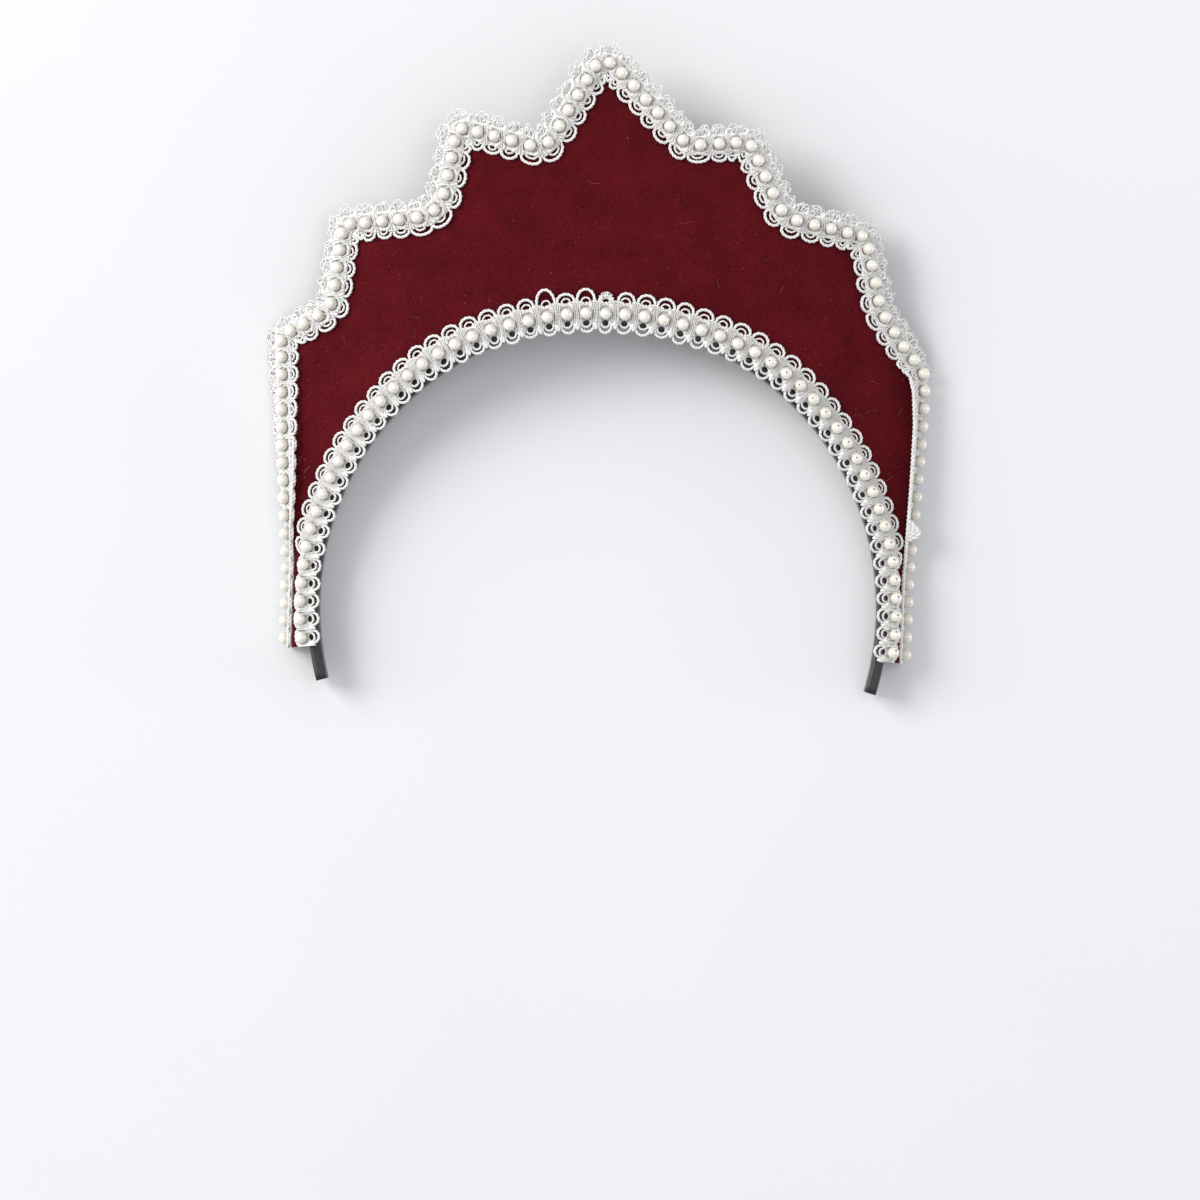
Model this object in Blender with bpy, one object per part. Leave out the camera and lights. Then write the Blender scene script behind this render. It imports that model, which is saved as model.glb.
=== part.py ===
"""Crown headband: a velvet covered board with a five pointed top edge, a pearl braid sewn along that edge,
another along the arch that the head goes in, and the plain hair band that the board stands on.

The shape is worked out in the front view, from the centre of the arch, and bent back towards both sides.
The crown lies on its back: +X across its width, +Y from the band's ends to the apex, +Z out of its front.
Lengths are in millimetres in the tables and in metres everywhere else.
"""
import math

import bmesh
import bpy
import numpy as np
from mathutils import Matrix, Vector

MM = 0.001

# Board
BOARD_THICKNESS = 3.0 * MM
BOARD_EDGE_ROUNDING = 0.7 * MM
BOARD_ROWS = 3
BOARD_STEP = 11.0 * MM
BEND_DEPTH = 21.0 * MM
BEND_HALF_WIDTH = 92.0 * MM
BEND_POWER = 2.5

# The crown tips back until it lies on its corners and the back of its hair band
REST_TILT = math.radians(-2.0)

# Arch and hair band
ARCH_RADIUS = 85.7 * MM
ARCH_END_ANGLE = math.radians(99.0)
ARCH_SECTIONS = 72
BAND_THICKNESS = 3.4 * MM
BAND_WIDTH = 10.0 * MM
BAND_SET_BACK = 0.6 * MM
BAND_END_ANGLE = math.radians(106.0)
BAND_SECTIONS = 35

# Braid and pearls
PEARL_DIAMETER = 3.65 * MM
OUTER_PITCH = 5.15 * MM
ARCH_PITCH = 5.5 * MM
ARCH_PITCH_EASE = 0.024
PEARL_SIDES = 10
PEARL_RINGS = 2
BRAID_THICKNESS = 1.6 * MM
PEARL_LIFT = BRAID_THICKNESS / 2.0 - 0.05 * MM
ARCH_INNER_REACH = 6.0 * MM
FREE_REACH = 5.3 * MM
LOOP_DEPTH = 2.1 * MM
FAN_REACH = 6.5 * MM
LEG_CLEARANCE = 2.0 * MM
TIP_REACH = 2.2 * MM
VALLEY_REACH = 1.2 * MM
PATH_STEP = 0.5 * MM
GAP = 0.3 * MM

# Top edge of the board, from a leg's end up to the apex, measured from the centre of the arch
EDGE_CORNERS = (
    # name, left x, left height, right x, right height, rounding
    ("leg end", -89.8, -14.0, 88.9, -14.0, 0.0),
    ("leg", -89.6, 12.0, 89.2, 12.0, 12.0),
    ("side", -92.6, 44.0, 91.4, 44.0, 20.0),
    ("corner", -95.2, 78.0, 93.2, 71.4, 1.5),
    ("third valley", -80.5, 86.0, 80.5, 89.5, 5.0),
    ("third point", -77.4, 111.0, 75.6, 111.2, 2.0),
    ("second valley", -49.5, 113.6, 51.2, 115.8, 8.0),
    ("second point", -44.9, 139.9, 40.8, 137.5, 3.5),
    ("first valley", -19.3, 133.6, 22.8, 135.6, 4.0),
)
APEX_X = -2.8
APEX_HEIGHT = 162.6
APEX_ROUNDING = 5.0
ARC_STEPS = 2

# The row of pearls along the arch, which is a little flatter than the arch at its top
ARCH_ROW = (
    # angle from the middle, radius, outer reach of the braid
    (0.0, 85.4, 6.6),
    (13.0, 85.6, 6.7),
    (20.0, 86.1, 6.5),
    (28.0, 86.9, 6.3),
    (38.0, 87.3, 6.0),
    (50.0, 86.9, 5.5),
    (65.0, 86.5, 5.6),
    (99.0, 86.7, 5.4),
)

# How the outer braid turns round the board's edge, from the corner down each side.
# The turn is the angle between the braid's face and the front view, in degrees.
SIDE_SECTIONS = (
    # name, height, left turn, right turn, set back from the edge, inner reach
    ("corner", 78.0, 30.0, 30.0, -1.0, 5.6),
    ("below the corner", 66.0, 38.0, 66.0, -0.7, 5.6),
    ("upper side", 56.0, 46.0, 78.0, -0.3, 5.6),
    ("middle side", 38.0, 58.0, 84.0, 0.2, 5.6),
    ("upper leg", 27.0, 68.0, 86.0, 0.8, 5.0),
    ("lower leg", 14.0, 78.0, 88.0, 2.4, 2.2),
    ("leg end", -14.0, 84.0, 90.0, 3.0, 2.2),
)


def clear_scene():
    """Remove every object that the file opens with."""
    for thing in list(bpy.data.objects):
        bpy.data.objects.remove(thing, do_unlink=True)


def plain_material(name, colour, roughness):
    """A plain finish in the piece's own colour."""
    material = bpy.data.materials.new(name)
    material.use_nodes = True
    shader = material.node_tree.nodes["Principled BSDF"]
    shader.inputs["Base Color"].default_value = (*colour, 1.0)
    shader.inputs["Roughness"].default_value = roughness
    material.diffuse_color = (*colour, 1.0)
    return material


def bend(x):
    """How far the front lies behind its middle, x from the middle."""
    return BEND_DEPTH * (abs(x) / BEND_HALF_WIDTH) ** BEND_POWER


def bend_slope(x):
    """The slope of the bend at x."""
    steepness = BEND_POWER * BEND_DEPTH / BEND_HALF_WIDTH
    return math.copysign(steepness * (abs(x) / BEND_HALF_WIDTH) ** (BEND_POWER - 1.0), x)


def front_point(x, y):
    """The point of the velvet's front that the front view shows at x, y."""
    return Vector((x, y, -bend(x)))


def rounded(corners):
    """A line through corners, given as (x, y, rounding), with an arc in place of each rounded one."""
    line = []
    for index, (x, y, radius) in enumerate(corners):
        corner = Vector((x, y))
        if radius == 0.0 or index in (0, len(corners) - 1):
            line.append(corner)
            continue
        before = (Vector(corners[index - 1][:2]) - corner).normalized()
        after = (Vector(corners[index + 1][:2]) - corner).normalized()
        half_angle = before.angle(after) / 2.0
        centre = corner + (before + after).normalized() * (radius / math.sin(half_angle))
        start = corner + before * (radius / math.tan(half_angle)) - centre
        turn = start.angle_signed(corner + after * (radius / math.tan(half_angle)) - centre)
        for step in range(ARC_STEPS + 1):
            line.append(centre + Matrix.Rotation(-turn * step / ARC_STEPS, 2) @ start)
    return line


def board_edge():
    """The board's top edge in the front view, from the left leg's end over the apex to the right one."""
    left = [(lx * MM, ly * MM, rounding * MM) for _, lx, ly, _, _, rounding in EDGE_CORNERS]
    right = [(rx * MM, ry * MM, rounding * MM) for _, _, _, rx, ry, rounding in reversed(EDGE_CORNERS)]
    apex = (APEX_X * MM, APEX_HEIGHT * MM, APEX_ROUNDING * MM)
    return rounded(left + [apex] + right)


def arch_line(radius, end_angle, sections):
    """An arc about the arch's centre, left end to right end, in the front view."""
    angles = (end_angle * (2.0 * index / sections - 1.0) for index in range(sections + 1))
    return [Vector((radius * math.sin(angle), radius * math.cos(angle))) for angle in angles]


def arch_row(angle):
    """The radius of the arch's row of pearls and its braid's outer reach, at an angle from the middle."""
    angles, radii, reaches = zip(*ARCH_ROW)
    degrees = math.degrees(abs(angle))
    return np.interp(degrees, angles, radii) * MM, np.interp(degrees, angles, reaches) * MM


def arch_row_line():
    """The line of the pearls along the arch, left end to right end, in the front view."""
    directions = arch_line(1.0, ARCH_END_ANGLE, ARCH_SECTIONS)
    return [direction * arch_row(math.atan2(direction.x, direction.y))[0] for direction in directions]


def divided(line, longest):
    """The same line with its long straight stretches divided."""
    points = [line[0]]
    for start, end in zip(line, line[1:]):
        parts = max(1, math.ceil((end - start).length / longest))
        points += [start.lerp(end, part / parts) for part in range(1, parts + 1)]
    return points


class Braid:
    """A braid's path on the board: where its centre runs, which way it faces and how far its loops reach."""

    def __init__(self, line, side, pitch, ease=0.0):
        fine = divided(line, PATH_STEP)
        self.side = side
        self.ease = ease
        self.points = np.array([tuple(point) for point in fine])
        solid = np.array([tuple(front_point(*point)) for point in fine])
        steps = np.linalg.norm(np.diff(solid, axis=0), axis=1)
        self.places = np.concatenate(([0.0], np.cumsum(steps)))
        along = np.diff(self.points, axis=0)
        self.outward = np.column_stack((-along[:, 1], along[:, 0])) / np.linalg.norm(along, axis=1)[:, None]
        self.middles = (self.places[1:] + self.places[:-1]) / 2.0
        self.pearls = round(self.places[-1] / pitch)

    def place(self, repeat):
        """How far along the path a place given in repeats is. The ease makes the middle repeats longer."""
        part = repeat / self.pearls
        return self.places[-1] * (part - self.ease * math.sin(math.tau * part) / math.tau)

    def section(self, place):
        """The braid's middle, outward direction, face, and its reach outwards and inwards, at a place."""
        x = np.interp(place, self.places, self.points[:, 0])
        y = np.interp(place, self.places, self.points[:, 1])
        near = abs(self.middles - place) < FAN_REACH
        across = self.outward[near].mean(axis=0)
        slope = bend_slope(x)
        outward = Vector((across[0], across[1], -slope * across[0])).normalized()
        face = Vector((slope, 0.0, 1.0)).normalized()
        roll, set_back, out_reach, in_reach = self.side(x, y, math.atan(abs(slope)))
        cross = outward * math.cos(roll) - face * math.sin(roll)
        face = face * math.cos(roll) + outward * math.sin(roll)
        middle = front_point(x, y) + cross * set_back + face * (GAP + BRAID_THICKNESS / 2.0)
        return middle, cross, face, out_reach, in_reach


def outer_side(x, y, velvet_turn):
    """The outer braid's turn, its set back and its reach on both sides, at a point of the board's edge."""
    heights = [row[1] * MM for row in reversed(SIDE_SECTIONS)]
    column = 2 if x < 0.0 else 3
    turns = [math.radians(row[column]) for row in reversed(SIDE_SECTIONS)]
    roll = max(0.0, np.interp(y, heights, turns) - velvet_turn) if y < heights[-1] else 0.0
    set_back = np.interp(y, heights, [row[4] * MM for row in reversed(SIDE_SECTIONS)])
    in_reach = np.interp(y, heights, [row[5] * MM for row in reversed(SIDE_SECTIONS)])
    return roll, set_back, FREE_REACH, in_reach


def arch_side(edge):
    """The same for the arch's braid, whose outer loops stop before the board's top edge."""
    angles = [math.atan2(point.x, point.y) for point in edge]
    radii = [point.length for point in edge]

    def side(x, y, velvet_turn):
        radius, reach = arch_row(math.atan2(x, y))
        room = np.interp(math.atan2(x, y), angles, radii) - radius
        out_reach = min(reach, max(TIP_REACH, room / math.cos(velvet_turn) - LEG_CLEARANCE))
        return 0.0, 0.0, out_reach, ARCH_INNER_REACH

    return side


def new_object(name, mesh, material, collection, parent):
    """A part with its finish, in the part's collection."""
    thing = bpy.data.objects.new(name, mesh)
    mesh.materials.append(material)
    collection.objects.link(thing)
    thing.parent = parent
    return thing


def mesh_from(shape, name):
    """A mesh from a finished bmesh, its faces turned outwards."""
    bmesh.ops.recalc_face_normals(shape, faces=shape.faces)
    mesh = bpy.data.meshes.new(name)
    shape.to_mesh(mesh)
    shape.free()
    return mesh


def loft(sections):
    """A closed shape through neighbouring sections, each a loop of points, with a cap at each end."""
    shape = bmesh.new()
    rows = [[shape.verts.new(point) for point in section] for section in sections]
    count = len(rows[0])
    for row, following in zip(rows, rows[1:]):
        for index in range(count):
            after = (index + 1) % count
            shape.faces.new((row[index], row[after], following[after], following[index]))
    shape.faces.new(rows[0])
    shape.faces.new(rows[-1])
    return shape


def board_mesh(edge):
    """The bent board: straight cuts from the arch out to the top edge, with rounded back edges."""
    rows = range(BOARD_ROWS + 1)
    sections = []
    for outer in divided(edge, BOARD_STEP):
        inner = outer.normalized() * ARCH_RADIUS
        rounding = (outer - inner).normalized() * BOARD_EDGE_ROUNDING
        front = [inner.lerp(outer, row / BOARD_ROWS) for row in rows]
        back = [(inner + rounding).lerp(outer - rounding, row / BOARD_ROWS) for row in reversed(rows)]
        section = [(point, 0.0) for point in front]
        section.append((outer, BOARD_THICKNESS - BOARD_EDGE_ROUNDING))
        section += [(point, BOARD_THICKNESS) for point in back]
        section.append((inner, BOARD_THICKNESS - BOARD_EDGE_ROUNDING))
        sections.append([(point.x, point.y, -bend(point.x) - depth) for point, depth in section])
    return mesh_from(loft(sections), "crown_panel")


def band_mesh():
    """The hair band: a flat hoop under the arch that follows the board's bend."""
    outer = ARCH_RADIUS - GAP
    inner_line = arch_line(outer - BAND_THICKNESS, BAND_END_ANGLE, BAND_SECTIONS)
    sections = []
    for near, far in zip(inner_line, arch_line(outer, BAND_END_ANGLE, BAND_SECTIONS)):
        front = -bend(far.x) - BAND_SET_BACK
        back = front - BAND_WIDTH
        sections.append([(*near, front), (*far, front), (*far, back), (*near, back)])
    return mesh_from(loft(sections), "hair_band")


def braid_sections(braid):
    """The cuts through the braid between its pearls and at each pearl, drawn in where two loops meet."""
    between, beside = [], []
    for half_step in range(2 * braid.pearls + 1):
        middle, cross, face, out_reach, in_reach = braid.section(braid.place(half_step / 2.0))
        if half_step % 2 == 0:
            out_reach = max(VALLEY_REACH, out_reach - LOOP_DEPTH)
            in_reach = max(VALLEY_REACH, in_reach - LOOP_DEPTH)
        inner = middle - cross * in_reach
        outer = middle + cross * out_reach
        rise = face * (BRAID_THICKNESS / 2.0)
        cut = [inner - rise, inner + rise, outer + rise, outer - rise]
        (beside if half_step % 2 else between).append(cut)
    return between, beside


def pearl_rings(braid, place):
    """Rings of points up a pearl from the braid's face, its top, its centre and two directions across."""
    middle, cross, face, _, _ = braid.section(place)
    along = face.cross(cross)
    radius = PEARL_DIAMETER / 2.0
    centre = middle + face * PEARL_LIFT
    lowest = math.asin((BRAID_THICKNESS / 2.0 - PEARL_LIFT) / radius)
    rings = []
    for ring in range(PEARL_RINGS):
        rise = lowest + (math.pi / 2.0 - lowest) * ring / PEARL_RINGS
        level = centre + face * (radius * math.sin(rise))
        turns = [math.tau * side / PEARL_SIDES for side in range(PEARL_SIDES)]
        rings.append([level + (cross * math.cos(turn) + along * math.sin(turn)) * (radius * math.cos(rise))
                      for turn in turns])
    return rings, centre + face * radius, centre, cross, along


def stitch(shape, outside, inside, angle):
    """Triangles between a ring of points and a ring inside it, going round both by their angle."""
    outside = sorted(outside, key=angle)
    inside = sorted(inside, key=angle)
    steps = sorted([(angle(vertex), 0, vertex) for vertex in outside[1:]]
                   + [(angle(vertex), 1, vertex) for vertex in inside[1:]], key=lambda step: step[:2])
    current = [outside[0], inside[0]]
    for _, ring, vertex in steps:
        shape.faces.new((current[0], vertex, current[1]))
        current[ring] = vertex
    shape.faces.new((current[0], outside[0], current[1]))
    shape.faces.new((current[1], outside[0], inside[0]))


def set_pearl(shape, braid, place, border):
    """A pearl rising out of the braid's face, inside the border of the loops at its sides."""
    rings, top, centre, cross, along = pearl_rings(braid, place)
    rows = [[shape.verts.new(point) for point in ring] for ring in rings]
    for row, above in zip(rows, rows[1:]):
        for index in range(PEARL_SIDES):
            after = (index + 1) % PEARL_SIDES
            shape.faces.new((row[index], row[after], above[after], above[index]))
    crown = shape.verts.new(top)
    for index in range(PEARL_SIDES):
        shape.faces.new((rows[-1][index], rows[-1][(index + 1) % PEARL_SIDES], crown))

    def angle(vertex):
        arm = vertex.co - centre
        return math.atan2(arm.dot(along), arm.dot(cross))

    stitch(shape, border, rows[0], angle)


def braid_mesh(braid, name):
    """A braid with scalloped edges and a pearl fused to the middle of each repeat."""
    shape = bmesh.new()
    between, beside = ([[shape.verts.new(point) for point in cut] for cut in cuts]
                       for cuts in braid_sections(braid))
    for index, tip in enumerate(beside):
        start, end = between[index], between[index + 1]
        for near, far in ((start, tip), (tip, end)):
            for first, second in ((0, 1), (2, 3), (3, 0)):
                shape.faces.new((near[first], near[second], far[second], far[first]))
        border = [start[1], tip[1], end[1], end[2], tip[2], start[2]]
        set_pearl(shape, braid, braid.place(index + 0.5), border)
    shape.faces.new(between[0])
    shape.faces.new(between[-1])
    return mesh_from(shape, name)


def lay_down(parts, holder):
    """Move the crown so that it lies on the ground with the middle of its outline over the origin."""
    bpy.context.view_layer.update()
    graph = bpy.context.evaluated_depsgraph_get()
    corners = []
    for part in parts:
        evaluated = part.evaluated_get(graph)
        corners += [part.matrix_world @ vertex.co for vertex in evaluated.data.vertices]
    low = Vector(min(corner[axis] for corner in corners) for axis in range(3))
    high = Vector(max(corner[axis] for corner in corners) for axis in range(3))
    middle = (low + high) / 2.0
    holder.location = (-middle.x, -middle.y, -low.z)


def main():
    clear_scene()
    parts = bpy.data.collections.new("crown_headband")
    bpy.context.scene.collection.children.link(parts)
    holder = bpy.data.objects.new("crown", None)
    holder.rotation_euler.x = REST_TILT
    parts.objects.link(holder)

    velvet = plain_material("burgundy_velvet", (0.10, 0.010, 0.014), 0.9)
    cord = plain_material("white_cord", (0.90, 0.90, 0.90), 0.6)
    plastic = plain_material("black_band", (0.010, 0.010, 0.012), 0.5)

    edge = board_edge()
    outer_braid = Braid(edge, outer_side, OUTER_PITCH)
    arch_braid = Braid(arch_row_line(), arch_side(edge), ARCH_PITCH, ARCH_PITCH_EASE)
    pieces = [
        new_object("crown_panel", board_mesh(edge), velvet, parts, holder),
        new_object("hair_band", band_mesh(), plastic, parts, holder),
        new_object("outer_braid", braid_mesh(outer_braid, "outer_braid"), cord, parts, holder),
        new_object("arch_braid", braid_mesh(arch_braid, "arch_braid"), cord, parts, holder),
    ]
    lay_down(pieces, holder)


main()
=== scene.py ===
"""Looks of the crown headband: velvet cover, satin hair band, and two braids of looped cord with pearls.

The crown is worked out as in the part's source: in the front view, from the centre of the arch, +X to the
right, +Y up, +Z out of the velvet. settle() then lays the points down where the CAD model lies.
A braid is drawn one repeat at a time: u along it, v across it towards the velvet, w up from its middle.
Lengths are in metres. Those in tables, and a braid's sizes that aren't multiplied by MM, are in millimetres.
"""
import math

import bpy
import numpy as np
from mathutils import Matrix, Vector
from mathutils.kdtree import KDTree


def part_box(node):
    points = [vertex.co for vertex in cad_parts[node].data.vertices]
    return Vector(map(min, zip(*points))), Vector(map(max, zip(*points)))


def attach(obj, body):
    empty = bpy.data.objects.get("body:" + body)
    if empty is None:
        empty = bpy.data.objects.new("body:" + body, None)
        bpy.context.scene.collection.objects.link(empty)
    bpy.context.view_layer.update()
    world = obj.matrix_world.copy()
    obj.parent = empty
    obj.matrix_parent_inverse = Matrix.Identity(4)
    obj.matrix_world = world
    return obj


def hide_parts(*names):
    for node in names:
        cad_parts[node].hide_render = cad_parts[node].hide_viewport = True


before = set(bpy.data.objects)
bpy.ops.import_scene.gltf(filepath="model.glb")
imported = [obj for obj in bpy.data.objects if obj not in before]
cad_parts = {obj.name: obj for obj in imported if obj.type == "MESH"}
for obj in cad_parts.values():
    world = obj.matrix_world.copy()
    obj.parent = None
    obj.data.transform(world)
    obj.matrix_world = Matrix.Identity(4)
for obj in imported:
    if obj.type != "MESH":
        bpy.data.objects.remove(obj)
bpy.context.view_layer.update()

MM = 0.001
random = np.random.default_rng(7)

# Board, as in the part's source
BOARD_THICKNESS = 3.0 * MM
BEND_DEPTH = 21.0 * MM
BEND_HALF_WIDTH = 92.0 * MM
BEND_POWER = 2.5
REST_TILT = math.radians(-2.0)
ARCH_RADIUS = 85.7 * MM
ARCH_END_ANGLE = math.radians(99.0)
GAP = 0.3 * MM
EDGE_CORNERS = (
    # name, left x, left height, right x, right height, rounding
    ("leg end", -89.8, -14.0, 88.9, -14.0, 0.0),
    ("leg", -89.6, 12.0, 89.2, 12.0, 12.0),
    ("side", -92.6, 44.0, 91.4, 44.0, 20.0),
    ("corner", -95.2, 78.0, 93.2, 71.4, 1.5),
    ("third valley", -80.5, 86.0, 80.5, 89.5, 5.0),
    ("third point", -77.4, 111.0, 75.6, 111.2, 2.0),
    ("second valley", -49.5, 113.6, 51.2, 115.8, 8.0),
    ("second point", -44.9, 139.9, 40.8, 137.5, 3.5),
    ("first valley", -19.3, 133.6, 22.8, 135.6, 4.0),
)
APEX = (-2.8, 162.6, 5.0)
ARC_STEPS = 6
ARCH_ROW = (
    # angle from the middle, radius of the row of pearls, outer reach
    (0.0, 85.4, 6.6),
    (13.0, 85.6, 6.7),
    (20.0, 86.1, 6.5),
    (28.0, 86.9, 6.3),
    (38.0, 87.3, 6.0),
    (50.0, 86.9, 5.5),
    (65.0, 86.5, 5.6),
    (99.0, 86.7, 5.4),
)

# Velvet cover, with shallow swells across and along it
COVER_ROUNDING = 1.3 * MM
COVER_ROUND_STEPS = 4
COVER_STEP = 1.0 * MM
COVER_FRONT_ROWS = 48
COVER_BACK_ROWS = 20
COVER_SOFTNESS = 0.12 * MM
COVER_SWELL_WIDTH = 6.1 * MM
COVER_SWELL_HEIGHT = 7.3 * MM
COVER_SWELL_SWAY = 2.0
COVER_SWAY_HEIGHT = 11.0 * MM

# Painted shade on the velvet, under the braids and a little beyond them
BRAID_SHADE_REACH = 0.9 * MM
BRAID_SHADE_FADE = 0.6 * MM
BRAID_SHADE_STEP = 1.0 * MM
BRAID_SHADE_ROWS = 6

# Hair band, as in the part's source
BAND_THICKNESS = 3.4 * MM
BAND_WIDTH = 10.0 * MM
BAND_SET_BACK = 0.6 * MM
BAND_END_ANGLE = math.radians(106.0)
BAND_FACETS = 35
BAND_SECTIONS = 150
BAND_ROUNDING = 0.9 * MM
BAND_ROUND_STEPS = 4

# Braids, as in the part's source
PEARL_DIAMETER = 3.65 * MM
PEARL_PITCH = 5.15 * MM
OUTER_PEARLS = 92
ARCH_PEARLS = 55
ARCH_PITCH_EASE = 0.024
BRAID_THICKNESS = 1.6 * MM
PEARL_LIFT = BRAID_THICKNESS / 2.0 - 0.05 * MM
VELVET_REACH = 6.0 * MM
FREE_REACH = 5.3 * MM
ARCH_FREE_REACH = 6.0 * MM
FAN_REACH = 6.5 * MM
LEG_CLEARANCE = 2.0 * MM
TIP_REACH = 2.2 * MM
SIDE_SECTIONS = (
    # name, height, left turn, right turn, set back from the edge, inner reach
    ("corner", 78.0, 30.0, 30.0, -1.0, 5.6),
    ("below the corner", 66.0, 38.0, 66.0, -0.7, 5.6),
    ("upper side", 56.0, 46.0, 78.0, -0.3, 5.6),
    ("middle side", 38.0, 58.0, 84.0, 0.2, 5.6),
    ("upper leg", 27.0, 68.0, 86.0, 0.8, 5.0),
    ("lower leg", 14.0, 78.0, 88.0, 2.4, 2.2),
    ("leg end", -14.0, 84.0, 90.0, 3.0, 2.2),
)
PATH_STEP = 0.5 * MM
ARCH_SECTIONS = 72

# Pearls, with painted shade below a ring round their top
PEARL_RINGS = 14
PEARL_SIDES = 20
PEARL_POLE = 0.02
PEARL_SMALLER = 0.05
PEARL_LARGER = 0.01
PEARL_DRIFT = 0.10 * MM
PEARL_SHADE_TOP = math.radians(58.0)
PEARL_SHADE_FADE = math.radians(62.0)

# Cord of the braids
CORD_STEP = 0.30 * MM
TWIST_PITCH = 2.4 * MM
CORD_SIDES = 8
STRAND_SIDES = 6
PLY_DEPTH = 0.30

# Knitted ground of the braids, hollow round each pearl
LACE_STEP = 0.24 * MM
LACE_COLUMNS = 27
LACE_BACK_COLUMNS = 2
LACE_KNIT = 0.90
LACE_FLOOR = -0.85
LACE_HEIGHT = 1.02
LACE_SWELL = 0.14
LACE_SWELL_WIDTH = 6.0
LACE_EDGE_POWER = 6
LACE_KNIT_DEPTH = 0.20
LACE_PIT_RADIUS = 2.35
LACE_PIT_FADE = 0.40
LACE_PIT_DEPTH = 0.60
# painted shade in the lace's knit hollows
LACE_SHADE = 0.14
LACE_EDGES = (
    # braid, velvet side, how much it is drawn in, free side, how much it is drawn in
    ("arch_braid", 3.05, 0.2, 2.55, 0.9),
    ("outer_braid", 3.35, 0.2, 3.25, 0.3),
)

# Loops on both sides of the braids
LOOPS = (
    # braid, piece, velvet side, half width, middle, depth, opening, thickness, height, looseness
    ("arch_braid", "wide_loops", True, 2.12, 3.50, 2.00, 115.0, 1.00, -0.50, 0.06),
    ("arch_braid", "narrow_loops", True, 1.16, 3.12, 1.08, 108.0, 0.66, -0.50, 0.06),
    ("arch_braid", "wide_loops", False, 1.85, 3.05, 1.77, 118.0, 0.95, -0.50, 0.08),
    ("arch_braid", "narrow_loops", False, 1.20, 2.45, 1.02, 112.0, 0.78, -0.45, 0.08),
    ("outer_braid", "wide_loops", True, 2.24, 3.62, 1.88, 110.0, 1.02, -0.45, 0.10),
    ("outer_braid", "narrow_loops", True, 1.10, 3.20, 0.92, 106.0, 0.76, -0.42, 0.12),
)
LOOSE_LOOPS = (
    # braid, piece, velvet side, repeat, times as deep, times as wide
    ("arch_braid", "wide_loops", True, 24, 1.95, 1.12),
    ("arch_braid", "wide_loops", True, 26, 1.55, 1.10),
    ("arch_braid", "wide_loops", True, 27, 0.62, 0.80),
    ("arch_braid", "wide_loops", False, 23, 0.80, 1.05),
    ("arch_braid", "wide_loops", False, 30, 0.85, 1.00),
)
LOOP_FOOT = -0.60

# Picots, the fine uneven loops that fringe the outer braid's free side
PICOTS = (
    # place in the repeat, half width, middle, depth, height, looseness
    (-2.1, 0.75, 3.20, 1.10, -0.35, 0.30),
    (-1.1, 0.95, 3.85, 1.45, -0.20, 0.30),
    (0.0, 1.00, 4.20, 1.60, -0.35, 0.30),
    (1.1, 0.90, 3.85, 1.45, -0.10, 0.30),
    (2.1, 0.70, 3.15, 1.10, -0.30, 0.30),
    (-1.6, 0.70, 3.05, 0.95, 0.35, 0.35),
    (-0.5, 0.80, 3.50, 1.15, 0.50, 0.35),
    (0.6, 0.75, 3.50, 1.10, 0.40, 0.35),
    (1.7, 0.65, 3.05, 0.95, 0.30, 0.35),
)
PICOT_DRIFT = 0.3
PICOT_LEAN = 0.5
PICOT_LIFT = 0.2
PICOT_TILT = 0.25
PICOT_THICKNESS = 0.54
PICOT_OPENING = math.radians(140.0)
PICOT_STEP = 0.24
PICOT_SIDES = 5
PICOT_SHADE = 0.4
STITCH_PITCH = 0.75 * MM
STITCH_DEPTH = 0.28

# Threads: two that zigzag beside the pearls, and several that cross between each two of them
STRAND_DRIFT = 0.12
STRAND_LIFT = 0.06
ZIGZAG_OVERLAP = 0.15
ZIGZAG_STEPS = 1.3
ZIGZAG_WAVES = 3.0
ZIGZAG_MIDDLE = 2.72
ZIGZAG_SCALLOP = 0.22
ZIGZAG_SWING = 0.36
ZIGZAG_HEIGHT = -0.05
ZIGZAG_WEAVE = 0.12
ZIGZAG_THICKNESS = 0.62
CROSS_STRANDS = (
    # braid, how many between two pearls, their spacing, lean, thickness, stitched
    ("arch_braid", 5, 0.50, 0.12, 0.46, 0.18),
    ("outer_braid", 5, 0.50, 0.40, 0.46, 0.26),
)
CROSS_START = -2.3
CROSS_END = 2.8
CROSS_MIDDLE = 0.3
CROSS_ARCH_LENGTH = 6.4
CROSS_HEIGHT = 0.16
CROSS_ARCH_HEIGHT = 0.55
CROSS_WAVE = 1.1

# Knots, the plump wound ovals between the loops of the free side
KNOT_STEPS = 10
KNOT_SIDES = 10
KNOT_MIDDLE = -2.85
KNOT_HALF_LENGTH = 1.25
KNOT_DROOP = 0.15
KNOT_RADIUS = 0.66 * MM
KNOT_FULLNESS = 0.97
KNOT_PITCH = 6.0 * MM
KNOT_PLY = 0.08
KNOT_DRIFT = (0.15, 0.12, 0.08)

# Ropes and flattening, where the outer braid is seen edge on
EDGE_ROPES = (
    # braid, start and end along it, thickness, height
    ("outer_braid", 0.0, 62.0, 0.95, -0.10),
    ("outer_braid", 388.0, 476.0, 1.20, -0.85),
)
ROPE_STEP = 0.8 * CORD_STEP
ROPE_PITCH = 2.6 * MM
ROPE_PLY = 0.42
ROPE_INSET = 0.7
FLATNESS = (
    # braid, place along it, how much of their height its cords keep there
    ("arch_braid", 0.0, 1.0),
    ("outer_braid", 0.0, 0.42),
    ("outer_braid", 62.0, 0.42),
    ("outer_braid", 100.0, 1.0),
    ("outer_braid", 378.0, 1.0),
    ("outer_braid", 392.0, 0.40),
)

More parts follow.
